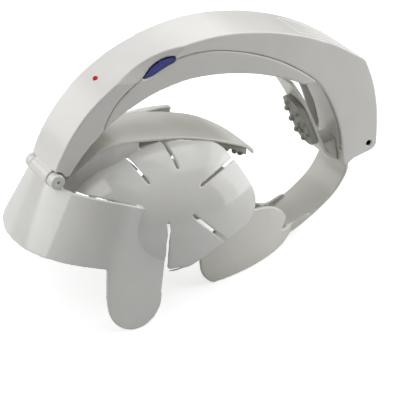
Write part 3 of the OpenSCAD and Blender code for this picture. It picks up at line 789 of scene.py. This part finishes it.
def front_shell():
    """Band, temple sides and petals, with the hinge discs and the wall under the finger."""
    cuts, adds = [], []
    for s in (1, -1):
        cuts += [before_band(s), rod(FRONT_PIN, DISC_ROOM_R, *span(s, *DISC_ROOM_Y)),
                 slab(TAB_CUT, *span(s, *TAB_Y))]
        adds += [rod(FRONT_PIN, DISC_R, *span(s, *DISC_Y)), slab(DISC_NECK, *span(s, *NECK_Y)),
                 root_web(s), side_fill(s, SIDE_FILL, SIDE_FILL_T), side_fill(s, PETAL_FILL, SHELL_T)]
    me = combined(combined(node_mesh("front_shell"), cuts, "DIFFERENCE"), adds, "UNION")
    last = [slab(line, *span(s, *SIDE_Y)) for line in (SIDE_SLOT, UNDER_PETAL) for s in (1, -1)]
    last.append(rod(FRONT_PIN, PIN_HOLE_R, -PIN_HOLE_HALF, PIN_HOLE_HALF))
    last += [rod(FRONT_PIN, DIMPLE_R, *span(s, *DIMPLE_Y)) for s in (1, -1)]
    return moulded(combined(me, last, "DIFFERENCE"), CLAW_VOXEL, shell_faces)


def crown_finger():
    """Long finger over the crown."""
    return moulded(node_mesh("crown_finger"), CLAW_VOXEL,
                   [along(FINGER_TOP), along(shift(FINGER_TOP, FINGER_T))])


def petal_pads(node):
    """Pads of one side of the petals, cut to the petals' lower edge."""
    tools = [slab(UNDER_PETAL, *span(s, *PAD_Y)) for s in (1, -1)]
    return moulded(combined(node_mesh(node), tools, "DIFFERENCE"), PAD_VOXEL, passes=FEW_PASSES)


def nub(line, axis, value, y, r):
    """Ball on the point of a side-view line whose x (axis 0) or z (axis 1) is nearest to value."""
    x, z = min(line, key=lambda q: abs(q[axis] - value))
    return ball((x, y, z), r)


def crown_pad():
    """Wide pad below the crown finger, with nubs near its edge."""
    line = [q for q in FINGER_TOP if CROWN_PAD_X[0] < q[0] < CROWN_PAD_X[1]]
    outline = [(x, y) for y, x in rounded(CROWN_PAD_PLAN)]
    plan = outward(raw_mesh([(x, y, z) for z in CROWN_Z for x, y in outline], prism_faces(len(outline))))
    me = slab(shift(line, FINGER_T) + shift(line, CROWN_PAD_LOW)[::-1], -CROWN_Y, CROWN_Y)
    me = combined(me, [plan], "INTERSECT")
    low = shift(line, CROWN_NUB_LOW)
    nubs = [nub(low, 0, x, t, CROWN_NUB_R) for x, y in CROWN_NUBS for t in ((y, -y) if y else (0,))]
    return moulded(combined(me, nubs, "UNION"), PAD_VOXEL)


show("petal_claw", front_shell(), "front_claw", "claw_gloss", ["front_shell"])
show("crown_strip", crown_finger(), "front_claw", "finger_plastic", ["crown_finger"])
show("crown_pad_soft", crown_pad(), "front_claw", "pad_rubber", ["crown_pad"])
for pads in ("near_petal_pads", "far_petal_pads"):
    o = show(pads + "_soft", petal_pads(pads), "front_claw", "pad_rubber", [pads])

# ---------------------------------------------------------------- rear claw
cradle_faces = [lobe_cone(s, t) for s in (1, -1) for t in (0, STRAP_T)]
cradle_faces += [along(PLATE_LINE), along(shift(PLATE_LINE, -STRAP_T))]


def rear_finger():
    """Upright finger of the rear claw, with the foot that joins it to the plate."""
    back = shift(REAR_FINGER, FINGER_WALL)
    me = slab(REAR_FINGER + back[::-1], -REAR_FINGER_Y, REAR_FINGER_Y)
    me = combined(me, [panel(REAR_FINGER_FRONT)], "INTERSECT")
    me = combined(me, [slab(REAR_FOOT, -REAR_FOOT_Y, REAR_FOOT_Y)], "UNION")
    return moulded(me, FINGER_VOXEL, [along(REAR_FINGER), along(back)])


def rear_pad():
    """Pad on the rear finger's face towards the head, with nubs."""
    line = [q for q in REAR_FINGER if REAR_PAD_Z[0] < q[1] < REAR_PAD_Z[1]]
    me = slab(line + shift(line, -PAD_T)[::-1], -REAR_FINGER_Y, REAR_FINGER_Y)
    me = combined(me, [panel(rounded(REAR_PAD_PLAN))], "INTERSECT")
    top = shift(line, -PAD_T - NUB_RISE)
    nubs = [nub(top, 1, z, y, NUB_R) for y, z in REAR_NUBS]
    return moulded(combined(me, nubs, "UNION"), REAR_PAD_VOXEL)


cup = moulded(node_mesh("rear_cradle"), CLAW_VOXEL, cradle_faces)
show("rear_cup", cup, "rear_claw", "finger_plastic", ["rear_cradle"])
show("rear_strip", rear_finger(), "rear_claw", "finger_plastic", ["rear_finger"])
show("rear_pad_soft", rear_pad(), "rear_claw", "pad_rubber", ["rear_pad"])

# ---------------------------------------------------------------- stage, light and camera
FLOOR_HALF = 6.0
FLOOR_GREY, FLOOR_GLOW = 0.62, 0.62
SKY_LIGHT = 0.1


def stage_material():
    """Pale floor that the camera sees as white, with the object's shadow kept."""
    mat = bpy.data.materials.new("pale_floor")
    mat.use_nodes = True
    tree = mat.node_tree
    tree.nodes.clear()
    out = tree.nodes.new("ShaderNodeOutputMaterial")
    soft = node_of(tree, "ShaderNodeBsdfDiffuse", Color=(FLOOR_GREY, FLOOR_GREY, FLOOR_GREY, 1))
    white = node_of(tree, "ShaderNodeEmission", Color=(1, 1, 1, 1), Strength=FLOOR_GLOW)
    both = tree.nodes.new("ShaderNodeAddShader")
    tree.links.new(soft.outputs[0], both.inputs[0])
    tree.links.new(white.outputs[0], both.inputs[1])
    path = tree.nodes.new("ShaderNodeLightPath")
    mix = tree.nodes.new("ShaderNodeMixShader")
    tree.links.new(path.outputs["Is Camera Ray"], mix.inputs[0])
    tree.links.new(soft.outputs[0], mix.inputs[1])
    tree.links.new(both.outputs[0], mix.inputs[2])
    tree.links.new(mix.outputs[0], out.inputs[0])
    return mat


floor_corners = [(x * FLOOR_HALF, y * FLOOR_HALF, 0) for x, y in ((-1, -1), (1, -1), (1, 1), (-1, 1))]
floor_mesh = raw_mesh(floor_corners, [(0, 1, 2, 3)])
floor_obj = bpy.data.objects.new("floor", floor_mesh)
scene.collection.objects.link(floor_obj)
floor_mesh.materials.append(stage_material())

# even light from the sky, which the camera sees as white
world = bpy.data.worlds.new("studio")
scene.world = world
world.use_nodes = True
air = world.node_tree
sky = air.nodes["Background"]
sky.inputs["Color"].default_value = (1, 1, 1, 1)
sky.inputs["Strength"].default_value = SKY_LIGHT
seen = node_of(air, "ShaderNodeBackground", Color=(1, 1, 1, 1), Strength=1.0)
path = air.nodes.new("ShaderNodeLightPath")
most = node_of(air, "ShaderNodeMath", operation="MAXIMUM")
air.links.new(path.outputs["Is Camera Ray"], most.inputs[0])
air.links.new(path.outputs["Is Transmission Ray"], most.inputs[1])
mix = air.nodes.new("ShaderNodeMixShader")
air.links.new(most.outputs[0], mix.inputs[0])
air.links.new(sky.outputs[0], mix.inputs[1])
air.links.new(seen.outputs[0], mix.inputs[2])
air.links.new(mix.outputs[0], air.nodes["World Output"].inputs[0])

# softboxes, placed from the middle of the object
MIDDLE = Vector((0.0, 0.0, 0.09))


def softbox(name, place, size, watts):
    """Rectangular lamp that faces the middle."""
    lamp = bpy.data.lights.new(name, "AREA")
    lamp.shape, lamp.size, lamp.size_y, lamp.energy = "RECTANGLE", size[0], size[1], watts
    o = bpy.data.objects.new(name, lamp)
    scene.collection.objects.link(o)
    o.location = MIDDLE + Vector(place)
    o.rotation_mode = "QUATERNION"
    o.rotation_quaternion = (-Vector(place)).to_track_quat("-Z", "Y")


softbox("over_far", (0.1, 0.45, 1.25), (1.6, 1.0), 3.4)
softbox("over_near", (0.1, -0.2, 1.3), (1.6, 0.9), 2.4)
softbox("panel_left", (-1.053, 0.282, 0.708), (1.15, 1.3), 10.7)
softbox("far_left", (-0.9, 0.9, 0.5), (0.7, 0.7), 2.5)
softbox("top_rear", (0.7, 0.3, 1.1), (1.9, 1.7), 11.0)
softbox("right_side", (1.2, -0.2, 0.5), (1.2, 1.3), 6.2)
softbox("right_close", (0.55, -0.3, 0.2), (0.5, 0.55), 1.5)

# camera, from the point it looks at and its axes in the side-view frame
TARGET = np.array([105.5, -23.6, -49.2])
BACKWARD = np.array([-0.4605, -0.7010, 0.5446])
RIGHT = np.array([0.8358, -0.5490, 0.0])
DISTANCE = 1190.0
FOCAL_PX = 1768.0
WIDTH_PX = 400.0
SENSOR = 36.0


def turned(v):
    """Direction of the side-view frame in the row frame."""
    c, s = math.cos(PITCH), math.sin(PITCH)
    return Vector((v[0] * c - v[2] * s, v[1], v[0] * s + v[2] * c)).normalized()


camera = bpy.data.cameras.new("camera")
camera.sensor_width = SENSOR
camera.lens = FOCAL_PX / WIDTH_PX * SENSOR
camera.clip_start, camera.clip_end = 0.05, 60
eye = bpy.data.objects.new("camera", camera)
scene.collection.objects.link(eye)
back, right = turned(BACKWARD), turned(RIGHT)
right = (right - back * right.dot(back)).normalized()
up = back.cross(right)
eye.rotation_mode = "QUATERNION"
eye.rotation_quaternion = Matrix((right, up, back)).transposed().to_quaternion()
eye.location = Vector(home([TARGET + DISTANCE * BACKWARD])[0])
scene.camera = eye
scene.view_settings.view_transform = "Standard"
